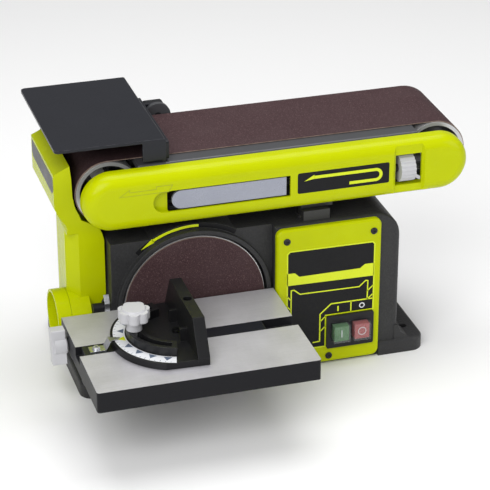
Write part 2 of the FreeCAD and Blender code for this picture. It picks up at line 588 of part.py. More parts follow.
# ---------------------------------------------------------------- work stop
stop = new_body("work_stop")
prism(stop, "Z", d.stop_top_z - d.stop_t, d.stop_t,
      rectangle(d.stop_left_x, d.stop_front_y, d.stop_right_x, d.stop_back_y))
round_edges(stop, 5, lambda e: span(e, "z") > 2 and inside(e, x=(-203.1, -202.9)))
prism(stop, "Z", d.stop_foot_z, d.stop_top_z - d.stop_foot_z,
      rectangle(d.stop_right_x - d.stop_t, d.stop_front_y, d.stop_right_x, d.stop_back_y))
prism(stop, "Z", d.stop_foot_z + 1, d.stop_top_z - d.stop_foot_z - 2,
      rectangle(d.stop_right_x - 24, d.stop_front_y, d.stop_right_x, d.stop_front_y + d.stop_t),
      rectangle(d.stop_right_x - 24, d.stop_back_y - d.stop_t, d.stop_right_x, d.stop_back_y))
round_edges(stop, 2.5, lambda e: span(e, "y") > 100 and inside(e, x=(-90.1, -89.9), z=(274.9, 275.1)))
# rear leg that carries the pivot eye beside the belt
prism(stop, "Y", 56.3, 4, rectangle(-92, d.stop_pivot_z - 12, d.stop_pivot_x, d.stop_pivot_z + 12))
prism(stop, "Y", 56.3, 4, rectangle(-93, 250, -90, 273))
prism(stop, "Y", 56.3, 4, circle(d.stop_pivot_x, d.stop_pivot_z, 12))
prism(stop, "Y", 55, 8, circle(d.stop_pivot_x, d.stop_pivot_z, 4.06), cut=True)

stop_bar = new_body("stop_bar")
prism(stop_bar, "X", d.stop_right_x, 4, rectangle(-66, 250.5, 52, 270))
round_edges(stop_bar, 2, lambda e: span(e, "x") > 3)

screw_group("stop_bar_screws", "X", -1, ((-50, 262), (36, 262)), d.stop_right_x - d.stop_t,
            3.6, 2.2, 1.8, 6)

stop_knob = new_body("stop_knob")
turned(stop_knob, "Y", d.stop_pivot_x, d.stop_pivot_z,
       [(0, 51), (4, 51), (4, 60.6), (7.5, 60.6), (7.5, 64), (0, 64)])
prism(stop_knob, "Y", 62.5, 16, rectangle(d.stop_pivot_x - 11, d.stop_pivot_z - 8, d.stop_pivot_x + 11, d.stop_pivot_z + 8))
round_edges(stop_knob, 3, lambda e: span(e, "y") > 10 and span(e, "x") < 0.1)
round_edges(stop_knob, 2, lambda e: inside(e, y=(78.4, 78.6)))

# ---------------------------------------------------------------- dust hood
hood = new_body("dust_hood")
hood_depth = d.hood_back_y - d.hood_front_y
prism(hood, "Y", d.hood_front_y, hood_depth,
      polygon((d.hood_left_x, 206), (d.hood_left_x, 243), (-186, 251), (-184.6, 237), (-184, 216), (-176, 190),
              (-160, 181), (-156, 176), (-189, 176), (-192.5, 187), (-199, 197)))
prism(hood, "Y", d.hood_front_y, d.duct_back_y - d.hood_front_y,
      polygon((-190, 182), (d.duct_left_x, 178), (d.duct_left_x, d.duct_bottom_z), (-158, d.duct_bottom_z),
              (-158, 95), (d.duct_right_x, 103), (d.duct_right_x, 165), (-155, 173), (-160, 182)))
prism(hood, "Z", d.duct_bottom_z - 1, 176.5 - d.duct_bottom_z,
      polygon((d.duct_left_x - 2, d.hood_front_y - 2), (d.duct_left_x + d.duct_chamfer + 2, d.hood_front_y - 2),
              (d.duct_left_x - 2, d.hood_front_y + d.duct_chamfer + 2)), cut=True)
prism(hood, "X", d.duct_left_x, d.barrel_right_x - d.duct_left_x, circle(d.port_y, d.port_z, d.barrel_r))
prism(hood, "Y", d.hood_front_y - 1, hood_depth + 2, circle(d.drive_x, d.arm_z, d.hood_bore_r), cut=True)
# the hollow: an open throat facing the drum, a duct down to the barrel and the barrel of the port
w = d.hood_wall
prism(hood, "Y", d.hood_front_y + w, hood_depth - w * 2,
      polygon((d.hood_left_x + w, 210), (d.hood_left_x + w, 241), (-188.5, 247), (-188.5, 230),
              (-140, 230), (-140, 184), (-165, 181), (-187, 181)), cut=True)
for left, front, back in ((d.duct_left_x + w, -41, d.duct_back_y - w), (-177, d.hood_front_y + w, -40)):
    prism(hood, "Y", front, back - front,
          polygon((left, 176), (-176, 184), (-166, 184), (-160, 178), (-155.5, 166), (-155.5, 104),
                  (-160.5, 95.5), (-160.5, d.duct_bottom_z + w), (left, d.duct_bottom_z + w)), cut=True)
prism(hood, "X", d.duct_left_x - 1, d.barrel_right_x - d.duct_left_x + 1 - w,
      circle(d.port_y, d.port_z, d.port_r - 0.4), cut=True)

port = new_body("dust_port")
turned(port, "X", d.port_y, d.port_z,
       [(d.port_r - 2.6, d.port_left_x), (d.port_r, d.port_left_x), (d.port_r, d.duct_left_x - 0.2),
        (d.port_r - 0.4, d.duct_left_x - 0.2), (d.port_r - 0.4, -184), (d.port_r - 2.6, -184)])

# ---------------------------------------------------------------- disc table
table = new_body("disc_table")
table_depth = d.table_back_y - d.table_front_y
under = d.table_top_z - d.table_h
prism(table, "Z", under, d.table_h,
      rectangle(d.table_left_x, d.table_front_y, d.table_right_x, d.table_back_y))
prism(table, "Z", under - 1, d.table_h - d.table_plate_t + 1,
      rectangle(d.table_left_x + d.skirt_t, d.table_front_y + d.skirt_t,
                d.table_right_x - d.skirt_t, d.table_back_y + 1), cut=True)
# sloped relief of both side skirts beside the guard ring
prism(table, "X", d.table_left_x - 1, 230,
      polygon((d.table_back_y + 1, 84), (d.table_back_y + 1, 70), (-98, 70)), cut=True)
# thick rib that carries the mitre slot, then the slot itself
prism(table, "Z", d.table_top_z - 13.5, 10,
      rectangle(d.table_left_x + 1, d.slot_y - 13.5, d.table_right_x - 1, d.slot_y + 13.5))
prism(table, "Z", d.table_top_z - d.slot_h, 12,
      rectangle(d.table_left_x - 1, d.slot_y - d.slot_w * 0.5,
                d.table_right_x + 1, d.slot_y + d.slot_w * 0.5), cut=True)
for x in (-140, -92, -44):
    prism(table, "Z", under + 4, 14, rectangle(x, d.table_front_y + 1, x + 4, d.slot_y - 12))
# pivot holes in the two side skirts
prism(table, "X", d.table_left_x - 1, 230, circle(d.pivot_y, d.pivot_z, 3.05), cut=True)
round_edges(table, 3, lambda e: span(e, "z") > 15 and inside(e, y=(-240.1, -239.9)))

# each bracket: an ear beside the skirt, then a leg to the foot; the left leg stands further in
brackets = []
for label, x0, leg_x in (("table_bracket_left", -201.6, -186), ("table_bracket_right", 10.4, 10.4)):
    side = new_body(label, node=False)
    brackets.append(side)
    prism(side, "X", x0, 4, polygon((d.pivot_y - 6.4, d.pivot_z), (d.pivot_y + 6.4, d.pivot_z), (-84, 70),
                                    (-84, 62), (-108, 62)))
    prism(side, "X", x0, 4, circle(d.pivot_y, d.pivot_z, 6.6))
    prism(side, "X", x0 - 1, 6, circle(d.pivot_y, d.pivot_z, 3.05), cut=True)
    prism(side, "Z", 62, 4, rectangle(x0, -108, leg_x + 4, -84))
    prism(side, "X", leg_x, 4, polygon((-108, 66), (-84, 66), (-78, 54), (-78, d.foot_t), (-87.5, d.foot_t)))
    flange_x = leg_x - 21 if x0 > 0 else leg_x
    prism(side, "Z", d.foot_t, 4, rectangle(flange_x, -87.5, flange_x + 25, -75))
group("table_brackets", brackets)
housing_screws += screw_row("bracket_screw", "Z", 1, ((-170, -81), (-3, -81)), d.foot_t + 4,
                            3.6, 2.4, 1.9, 12)
group("housing_screws", housing_screws)

wing = new_body("table_lock_knob")
turned(wing, "X", d.pivot_y, d.pivot_z,
       [(0, -220), (9, -220), (9, -208), (7.5, -206.6), (3, -206.6), (3, -195), (0, -195)])
for side in (-1, 1):
    prism(wing, "X", -223, 14.5, polygon((d.pivot_y + 5 * side, d.pivot_z), (d.pivot_y - 5 * side, d.pivot_z),
                                         (d.pivot_y - 9 * side, d.pivot_z - 18 * side),
                                         (d.pivot_y + 3 * side, d.pivot_z - 18 * side)))
round_edges(wing, 1.5, lambda e: span(e, "x") > 12)

pivot_bolt = new_body("pivot_bolt", node=False)
turned(pivot_bolt, "X", d.pivot_y, d.pivot_z,
       [(0, 23.2), (5, 23.2), (5, 19.4), (3, 19.4), (3, 7.2), (0, 7.2)])
nut = new_body("pivot_nut", node=False)
turned(nut, "X", d.pivot_y, d.pivot_z, ring(3, 5.5, 6.6, 10.2))
group("table_pivot_bolt", [pivot_bolt, nut])

stop_pin = new_body("table_stop_pin")
turned(stop_pin, "X", -69, 95, shaft(5, -170.4, -159))
clip = new_body("bevel_pointer")
prism(clip, "X", -158.6, 5.4, polygon((-74, 90), (-72.8, 90), (-72.8, 100), (-68, 108), (-69, 109), (-74, 101)))

# ---------------------------------------------------------------- mitre gauge
bar = new_body("mitre_bar")
bar_top = d.table_top_z - 0.3
prism(bar, "Z", bar_top - d.bar_h, d.bar_h,
      rectangle(d.bar_left_x, d.slot_y - d.bar_w * 0.5, d.bar_right_x, d.slot_y + d.bar_w * 0.5))
round_edges(bar, 2, lambda e: span(e, "z") > 5)
prism(bar, "Z", bar_top - 20, 30, circle(d.mitre_x - d.mitre_slot_r, d.slot_y, 3.06), cut=True)

head = new_body("mitre_head")
head_z = d.table_top_z + 0.3
fence_back_x = d.fence_face_x - d.fence_t
prism(head, "Z", head_z, d.mitre_plate_t,
      polygon((-132, d.slot_y - 60.2), (fence_back_x, d.slot_y - d.fence_half),
              (d.fence_face_x, d.slot_y - d.fence_half), (d.fence_face_x, d.slot_y + d.fence_half),
              (fence_back_x, d.slot_y + d.fence_half), (-132, d.slot_y + 60.2)))
prism(head, "Z", head_z, d.mitre_plate_t, circle(d.mitre_x, d.slot_y, d.mitre_r))
prism(head, "Z", head_z - 1, 20, rectangle(d.fence_face_x, d.slot_y - 70, -30, d.slot_y + 70), cut=True)
for side in (-1, 1):
    prism(head, "Z", head_z - 1, 20,
          polygon((-134, d.slot_y + 60.4 * side), (d.fence_face_x + 1, d.slot_y + d.fence_half.number * side),
                  (d.fence_face_x + 1, d.slot_y + 75 * side), (-134, d.slot_y + 75 * side)), cut=True)
prism(head, "X", fence_back_x, d.fence_t,
      polygon((d.slot_y - d.fence_half, head_z + 5), (d.slot_y + d.fence_half, head_z + 5),
              (d.slot_y + d.fence_half, head_z + 9), (d.slot_y + d.fence_top_half, head_z + d.fence_h),
              (d.slot_y - d.fence_top_half, head_z + d.fence_h), (d.slot_y - d.fence_half, head_z + 9)))
# raised rim round the arc slot, the slot and the pivot hole
arc_slot(head, "Z", head_z + 3, 13, d.mitre_x, d.slot_y, d.mitre_slot_r, 15, 104, 256, cut=False)
arc_slot(head, "Z", head_z - 1, 30, d.mitre_x, d.slot_y, d.mitre_slot_r, 6.8, 111, 249)
prism(head, "Z", head_z - 1, 12, circle(d.mitre_x, d.slot_y, 3.06), cut=True)
for y in (d.slot_y - 22, d.slot_y + 18):
    prism(head, "Z", head_z + 5, 16, rectangle(fence_back_x - 7, y, fence_back_x + 1, y + 4))
prism(head, "Z", head_z + 20, 40, circle(d.fence_face_x - 6, d.slot_y - 2, 4.5), cut=True)

pivot_screw = new_body("pivot_screw", node=False)
turned(pivot_screw, "Z", d.mitre_x, d.slot_y,
       [(0, 91), (3, 91), (3, head_z + 7.4), (4.6, head_z + 7.4), (4.6, head_z + 9.5), (0, head_z + 9.5)])
prism(pivot_screw, "Z", head_z + 8.3, 3, rectangle(d.mitre_x - 7, d.slot_y - 0.7, d.mitre_x + 7, d.slot_y + 0.7),
      cut=True)

pointer = new_body("mitre_pointer")
prism(pointer, "Y", d.slot_y - 6, 11,
      polygon((-194, bar_top), (-178, bar_top), (-173.5, bar_top + 8.8), (-163, bar_top + 8.8),
              (-163, bar_top + 9.6), (-174.2, bar_top + 9.6), (-178.6, bar_top + 1), (-194, bar_top + 1)))
prism(pointer, "Z", bar_top + 2, 12,
      polygon((-162, d.slot_y - 8), (-162, d.slot_y - 0.4), (-173, d.slot_y - 4), (-173, d.slot_y - 8)), cut=True)
prism(pointer, "Z", bar_top + 2, 12,
      polygon((-162, d.slot_y + 8), (-162, d.slot_y + 0.4), (-173, d.slot_y + 4), (-173, d.slot_y + 8)), cut=True)
pointer_screw = screw("pointer_screw", "Z", 1, val(-187), d.slot_y - 0.5, bar_top + 1, 4, 2.6, 1.9, 5)
group("mitre_screws", [pivot_screw, pointer_screw])

clamp_x = d.mitre_x - d.mitre_slot_r
mitre_knob = new_body("mitre_knob")
turned(mitre_knob, "Z", clamp_x, d.slot_y,
       [(0, 91), (3, 91), (3, head_z + 16.4), (8, head_z + 16.4), (7, head_z + 27), (13, head_z + 28),
        (13, head_z + 38), (11, head_z + 40.5), (0, head_z + 40.5)])
mitre_knob_sketch = mitre_knob.Group[0]
lobe = prism(mitre_knob, "Z", head_z + 28, 10.5, circle(clamp_x + 10.2, d.slot_y, 5.8))
polar(mitre_knob, lobe, mitre_knob_sketch, 7)

# ---------------------------------------------------------------- switch
plate = new_body("switch_plate")
plate_y = d.panel_front_y - d.switch_plate_t
prism(plate, "Y", plate_y, d.switch_plate_t,
      rectangle(d.switch_left_x, d.switch_bottom_z, d.switch_right_x, d.switch_top_z))
round_edges(plate, 8, lambda e: span(e, "y") > 5)
round_edges(plate, 3, lambda e: inside(e, y=(-90.1, -89.9)))
prism(plate, "Y", plate_y + 2.5, 8,
      rectangle(d.switch_left_x + 3, d.switch_bottom_z + 3, d.switch_right_x - 3, d.switch_top_z - 3), cut=True)
prism(plate, "Y", plate_y - 1, 8,
      rectangle(d.housing_x - 22.8, d.housing_z - 14.3, d.housing_x + 22.8, d.housing_z + 14.3), cut=True)
screw_places = ((d.switch_left_x + 10.8, d.switch_top_z - 13), (d.switch_right_x - 9, d.switch_top_z - 13.5),
                (78.5, d.switch_bottom_z + 8))
for x, z in screw_places:
    prism(plate, "Y", plate_y + 1, d.switch_plate_t - 1, circle(x, z, 4.6))
screw_group("switch_plate_screws", "Y", -1, screw_places, plate_y, 3.7, 1.6, 2, 14)

housing = new_body("switch_housing")
house_y = plate_y - d.housing_t
prism(housing, "Y", house_y, d.housing_t,
      rectangle(d.housing_x - d.housing_w * 0.5, d.housing_z - d.housing_h * 0.5,
                d.housing_x + d.housing_w * 0.5, d.housing_z + d.housing_h * 0.5))
round_edges(housing, 2, lambda e: span(e, "y") > 3)
prism(housing, "Y", plate_y, 24,
      rectangle(d.housing_x - 22.5, d.housing_z - 14, d.housing_x + 22.5, d.housing_z + 14))
for side in (-0.5, 0.5):
    x = d.housing_x + d.button_pitch * side
    prism(housing, "Y", house_y - 1, 14,
          rectangle(x - d.button_w * 0.5 - 0.4, d.housing_z - d.button_h * 0.5 - 0.4,
                    x + d.button_w * 0.5 + 0.4, d.housing_z + d.button_h * 0.5 + 0.4), cut=True)

for name, side in (("start", -0.5), ("stop", 0.5)):
    x = d.housing_x + d.button_pitch * side
    z0, z1 = d.housing_z - d.button_h * 0.5, d.housing_z + d.button_h * 0.5
    button = new_body(f"{name}_button")
    prism(button, "Y", house_y - d.cap_out + 2, 14,
          rectangle(x - d.button_w * 0.5 + 1.4, z0 + 1.4, x + d.button_w * 0.5 - 1.4, z1 - 1.4))
    cap = new_body(f"{name}_cap")
    prism(cap, "Y", house_y - d.cap_out, 14, rectangle(x - d.button_w * 0.5, z0, x + d.button_w * 0.5, z1))
    round_edges(cap, 1, lambda e: span(e, "y") > 5)
    prism(cap, "Y", house_y - d.cap_out + 1.2, 14,
          rectangle(x - d.button_w * 0.5 + 1.2, z0 + 1.2, x + d.button_w * 0.5 - 1.2, z1 - 1.2), cut=True)

gland = new_body("cord_gland")
turned(gland, "Y", 120, 40, [(4, 57), (11, 57), (11, 58), (8, 58), (8, 68), (11, 68), (11, 73), (7, 84), (4, 84)])

# ---------------------------------------------------------------- checks and export
doc.recompute()
faults = []
for item in doc.Objects:
    if "Invalid" in item.State or "Error" in item.State:
        owners = [b.Label for b in doc.Objects if b.TypeId == "PartDesign::Body" and item in b.Group]
        faults.append(f"{item.Label} of {owners} is {item.State}")
for node in nodes:
    if node.Shape.isNull() or not node.Shape.isValid():
        faults.append(f"{node.Label} has no valid shape")
if faults:
    raise RuntimeError("; ".join(faults))
for node in nodes:
    node.Shape.exportStep(f"parts/{node.Label}.step")
print(len(nodes), "parts written")
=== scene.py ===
import json
import math

import bmesh
import bpy
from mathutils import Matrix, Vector


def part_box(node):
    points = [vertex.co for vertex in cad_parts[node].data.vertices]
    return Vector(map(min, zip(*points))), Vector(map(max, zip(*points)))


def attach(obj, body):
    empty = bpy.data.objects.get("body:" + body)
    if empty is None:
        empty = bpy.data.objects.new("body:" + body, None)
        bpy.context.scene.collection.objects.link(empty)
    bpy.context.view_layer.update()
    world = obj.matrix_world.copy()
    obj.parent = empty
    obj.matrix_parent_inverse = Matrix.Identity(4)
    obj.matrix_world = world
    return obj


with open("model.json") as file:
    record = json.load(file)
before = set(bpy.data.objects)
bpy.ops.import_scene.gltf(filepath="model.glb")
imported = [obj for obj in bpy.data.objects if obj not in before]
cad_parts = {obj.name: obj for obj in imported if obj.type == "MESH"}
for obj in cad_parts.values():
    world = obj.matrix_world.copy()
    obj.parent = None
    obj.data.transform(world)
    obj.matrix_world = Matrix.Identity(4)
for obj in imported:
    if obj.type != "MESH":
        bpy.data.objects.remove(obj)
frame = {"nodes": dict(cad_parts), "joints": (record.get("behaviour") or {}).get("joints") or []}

MM = 0.001
NODES = frame["nodes"]
JOINTS = {joint["name"]: joint for joint in frame["joints"]}
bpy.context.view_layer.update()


# ------------------------------------------------------------------ places, read from the frame
def in_mm(metres):
    """A length of the frame in millimetres, to a tenth."""
    return round(metres / MM, 1)


def low(node):
    """Lowest corner of a node's box, in millimetres."""
    return [in_mm(value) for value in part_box(node)[0]]


def high(node):
    """Highest corner of a node's box, in millimetres."""
    return [in_mm(value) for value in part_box(node)[1]]


def middle(node):
    """Middle of a node's box, in millimetres."""
    return [in_mm((a + b) / 2) for a, b in zip(*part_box(node))]


def pivot(joint):
    """A point on a joint's axis, in millimetres."""
    return [in_mm(value) for value in JOINTS[joint]["pos_m"]]


X, Y, Z = 0, 1, 2
DRIVE_AXIS = pivot("drive_drum_spin")
IDLER_AXIS = pivot("idler_spin")
DISC_AXIS = pivot("disc_spin")
MITRE_AXIS = pivot("mitre_turn")


# ------------------------------------------------------------------ materials
NOISE_LOW, NOISE_HIGH = 0.3, 0.7        # most of a noise texture's values lie between these
EDGE_STARTS, EDGE_FULL = 0.985, 0.86    # cosine of the angle between the true and the rounded normal
ROUGH_SPREAD = 0.06                     # how far a moulded surface's roughness wanders each way
METAL_EDGE, TOOL_MARK_DEPTH = 0.3, 0.006    # millimetres


class Look:
    """One procedural material: a principled shader and short calls that add nodes to it."""

    def __init__(self, name, **constants):
        self.material = bpy.data.materials.new(name)
        self.material.use_nodes = True
        self.tree = self.material.node_tree
        self.shader = self.tree.nodes["Principled BSDF"]
        coords = self.tree.nodes.new("ShaderNodeTexCoord")
        self.place = coords.outputs["Object"]
        self.facing = coords.outputs["Normal"]
        for socket, value in constants.items():
            self.shader.inputs[socket.replace("_", " ")].default_value = value

    def node(self, kind, inputs, output=0, **settings):
        made = self.tree.nodes.new("ShaderNode" + kind)
        for key, value in settings.items():
            setattr(made, key, value)
        for key, value in inputs.items():
            socket = made.inputs[key]
            if isinstance(value, bpy.types.NodeSocket):
                self.tree.links.new(value, socket)
            else:
                socket.default_value = value
        return made.outputs[output]

    def calc(self, operation, a, b=0.0):
        return self.node("Math", {0: a, 1: b}, operation=operation)

    def noise(self, scale, detail=3.0, rough=0.55, where=None):
        return self.node("TexNoise", {"Vector": where or self.place, "Scale": scale,
                                      "Detail": detail, "Roughness": rough})

    def cells(self, scale, output="Distance", **settings):
        return self.node("TexVoronoi", {"Vector": self.place, "Scale": scale}, output, **settings)

    def remap(self, value, from_low, from_high, to_low, to_high):
        return self.node("MapRange", {"Value": value, "From Min": from_low, "From Max": from_high,
                                      "To Min": to_low, "To Max": to_high})

    def span(self, value, to_low, to_high):
        """The usual values of a noise, laid over the span from to_low to to_high."""
        return self.remap(value, NOISE_LOW, NOISE_HIGH, to_low, to_high)

    def mix(self, factor, first, second):
        """Colour mix: sockets 6 and 7 of the node are its two colours, and output 2 is its colour."""
        first, second = [(*c, 1.0) if isinstance(c, tuple) else c for c in (first, second)]
        return self.node("Mix", {0: factor, 6: first, 7: second}, 2, data_type="RGBA")

    def stretched(self, x, y, z):
        return self.node("Mapping", {"Vector": self.place, "Scale": (x, y, z)})

    def axis(self, vector, name):
        return self.node("SeparateXYZ", {0: vector}, name)

    def length(self, a, b):
        """Length of the diagonal of two sides."""
        return self.calc("SQRT", self.calc("ADD", self.calc("MULTIPLY", a, a), self.calc("MULTIPLY", b, b)))

    def radius(self, centre):
        """Distance from the line along Y through centre."""
        return self.length(self.calc("SUBTRACT", self.axis(self.place, "X"), centre[X] * MM),
                           self.calc("SUBTRACT", self.axis(self.place, "Z"), centre[Z] * MM))

    def soft_edges(self, radius):
        return self.node("Bevel", {"Radius": radius * MM}, samples=6)

    def edge_mask(self, rounded):
        """1 on sharp edges, 0 on flats, broken up by noise."""
        true = self.node("NewGeometry", {}, "Normal")
        match = self.node("VectorMath", {0: rounded, 1: true}, "Value", operation="DOT_PRODUCT")
        edge = self.remap(match, EDGE_STARTS, EDGE_FULL, 0.0, 1.0)
        return self.calc("MULTIPLY", edge, self.remap(self.noise(160, 4), 0.42, 0.62, 0.0, 1.0))

    def bump(self, height, depth, normal=None, strength=1.0):
        inputs = {"Height": height, "Distance": depth * MM, "Strength": strength}
        if normal is not None:
            inputs["Normal"] = normal
        return self.node("Bump", inputs)

    def feed(self, **sockets):
        for name, value in sockets.items():
            self.tree.links.new(value, self.shader.inputs[name.replace("_", " ")])
        return self


def scaled(colour, factor):
    return tuple(min(1.0, c * factor) for c in colour)


def moulded(name, colour, rough, grain=1400, depth=0.02, tint=0.05, edge=0.5, edge_wear_and_highlight=None, metallic=0.0,
            **constants):
    """Plastic or paint: slow tone variation, fine texture, softened edges lightened for wear and, on the
    black powder coat, as painted highlight.
    """
    look = Look(name, Metallic=metallic, **constants)
    fine = look.noise(grain, 4)
    slow = look.noise(22, 3)
    base = look.mix(look.span(slow, 0.0, 1.0), scaled(colour, 1 - tint), scaled(colour, 1 + tint))
    rounded = look.soft_edges(edge)
    if edge_wear_and_highlight:
        # edges lightened: wear, and on the black powder coat a painted highlight along the bright edge
        # lines
        base = look.mix(look.calc("MULTIPLY", look.edge_mask(rounded), 0.5), base, edge_wear_and_highlight)
    patches = look.span(look.noise(55, 2), -ROUGH_SPREAD * 0.5, ROUGH_SPREAD * 0.5)
    roughness = look.calc("ADD", look.span(fine, rough - ROUGH_SPREAD, rough + ROUGH_SPREAD), patches)
    return look.feed(Base_Color=base, Roughness=roughness, Normal=look.bump(fine, depth, rounded)).material


def machined(name, colour, rough, stretch, metallic=1.0, depth=TOOL_MARK_DEPTH, tint=0.08):
    """Bare metal with fine tool marks that run along the least stretched direction."""
    look = Look(name, Metallic=metallic)
    marks = look.noise(40, 6, 0.7, look.stretched(*stretch))
    base = look.mix(look.remap(marks, 0.35, 0.65, 0.0, 1.0), scaled(colour, 1 - tint),
                    scaled(colour, 1 + tint))
    return look.feed(Base_Color=base, Roughness=look.span(marks, rough - 0.06, rough + 0.08),
                     Normal=look.bump(marks, depth, look.soft_edges(METAL_EDGE))).material


def turned(name, colour, rough, centre, shaded_web=0.0):
    """Metal turned on a lathe, with fine rings round centre. Inside the radius given for the web, the
    colour is painted near black: the recessed web is darker cast metal, with painted shade over it.
    """
    look = Look(name, Metallic=0.55)
    reach = look.radius(centre)
    reach_in_mm = look.calc("MULTIPLY", reach, 1 / MM)
    rings = look.noise(1.0, 2, 0.6, look.node("CombineXYZ", {0: reach_in_mm}))
    cloud = look.noise(70, 3)
    base = look.mix(look.calc("MULTIPLY", rings, cloud), scaled(colour, 0.85), scaled(colour, 1.12))
    # painted shade: the recessed web inside that radius, darker unturned metal deepened to near black as if
    # in shadow
    base = look.mix(look.calc("LESS_THAN", reach, shaded_web * MM), base, scaled(colour, 0.09))
    return look.feed(Base_Color=base, Roughness=look.span(rings, rough - 0.05, rough + 0.07),
                     Normal=look.bump(rings, 0.004, look.soft_edges(0.25))).material


def hammered_casting():
    """Enamel over a rough casting: shallow pits, a fleck of grey, and edges a little rubbed."""
    look = Look("casting_enamel", Specular_IOR_Level=0.30)
    pits = look.cells(420, feature="SMOOTH_F1")
    fine = look.noise(900, 4)
    slow = look.noise(14, 4)
    mottle = look.noise(520, 3, 0.7)
    height = look.calc("ADD", look.calc("MULTIPLY", pits, 0.7), look.calc("MULTIPLY", fine, 0.5))
    rounded = look.soft_edges(1.2)
    base = look.mix(look.span(slow, 0.0, 1.0), (0.022, 0.022, 0.023), (0.031, 0.031, 0.032))
    base = look.mix(look.remap(mottle, 0.45, 0.75, 0.0, 0.5), base, (0.050, 0.050, 0.051))
    base = look.mix(look.calc("MULTIPLY", look.edge_mask(rounded), 0.25), base, (0.09, 0.09, 0.09))
    return look.feed(Base_Color=base, Roughness=look.span(fine, 0.36, 0.54),
                     Normal=look.bump(height, 0.34, rounded, 0.9)).material


GRIT_DARK, GRIT_MID, GRIT_LIGHT = (0.036, 0.018, 0.020), (0.068, 0.036, 0.039), (0.18, 0.11, 0.11)
GRIT_CLOUD = (0.080, 0.050, 0.052)
GRIT_DEPTH = 0.10


def grit(look):
    """Colour, roughness and normal of coated abrasive grain. Each cell's random red is its shade."""
    shade = look.axis(look.cells(1900, "Color"), "X")
    lump = look.cells(1300)
    cloud = look.noise(30, 4)
    colour = look.mix(look.remap(shade, 0.0, 0.8, 0.0, 1.0), GRIT_DARK, GRIT_MID)
    colour = look.mix(look.remap(shade, 0.93, 1.0, 0.0, 0.85), colour, GRIT_LIGHT)
    colour = look.mix(look.remap(cloud, 0.35, 0.7, 0.0, 0.28), colour, GRIT_CLOUD)
    return colour, look.remap(shade, 0.9, 1.0, 0.72, 0.4), look.bump(lump, GRIT_DEPTH)


def sanding_belt_look():
    """Grain outside, cloth inside and on the two rims, and one splice across the lower run."""
    grain_depth = 0.3
    half_run = (IDLER_AXIS[X] - DRIVE_AXIS[X]) / 2
    run_middle = (IDLER_AXIS[X] + DRIVE_AXIS[X]) / 2
    cloth_radius = high("sanding_belt")[Z] - DRIVE_AXIS[Z] - grain_depth
    look = Look("belt_grit", Specular_IOR_Level=0.2)
    colour, roughness, normal = grit(look)

    # distance from the line between the two drum axes
    from_middle = look.calc("ABSOLUTE", look.calc("SUBTRACT", look.axis(look.place, "X"), run_middle * MM))
    past_run = look.calc("MAXIMUM", look.calc("SUBTRACT", from_middle, half_run * MM), 0.0)
    up = look.calc("SUBTRACT", look.axis(look.place, "Z"), DRIVE_AXIS[Z] * MM)
    backing = look.calc("LESS_THAN", look.length(past_run, up), cloth_radius * MM)
    weave = look.node("TexWave", {"Vector": look.place, "Scale": 260.0, "Distortion": 0.6, "Detail": 2.0})
    colour = look.mix(backing, colour, look.mix(weave, (0.16, 0.10, 0.07), (0.24, 0.16, 0.11)))

    # frayed cloth on the rims
    rim = look.calc("GREATER_THAN", look.calc("ABSOLUTE", look.axis(look.facing, "Y")), 0.6)
    fray = look.remap(look.noise(240, 3), 0.35, 0.6, 0.35, 1.0)
    colour = look.mix(look.calc("MULTIPLY", rim, fray), colour, (0.30, 0.22, 0.18))

    # diagonal splice, a little darker
    splice_x, splice_slope, splice_half_width = -20, 0.6, 0.5
    lower_run_below = 200
    slant = look.calc("MULTIPLY", look.axis(look.place, "Y"), splice_slope)
    off_splice = look.calc("SUBTRACT", look.calc("SUBTRACT", look.axis(look.place, "X"), slant),
                           splice_x * MM)
    near = look.calc("LESS_THAN", look.calc("ABSOLUTE", off_splice), splice_half_width * MM)
    below = look.calc("LESS_THAN", look.axis(look.place, "Z"), lower_run_below * MM)
    colour = look.mix(look.calc("MULTIPLY", near, below), colour, (0.03, 0.018, 0.018))
    return look.feed(Base_Color=colour, Roughness=roughness, Normal=normal).material


def disc_grit_look():
    """Grain with a narrow paler rim, where the disc was cut."""
    cut_rim = 0.3
    look = Look("disc_grit", Specular_IOR_Level=0.2)
    colour, roughness, normal = grit(look)
    grain_radius = high("abrasive_disc")[Z] - DISC_AXIS[Z] - cut_rim
    rim = look.calc("GREATER_THAN", look.radius(DISC_AXIS), grain_radius * MM)
    return look.feed(Base_Color=look.mix(rim, colour, (0.20, 0.14, 0.11)), Roughness=roughness,
                     Normal=normal).material


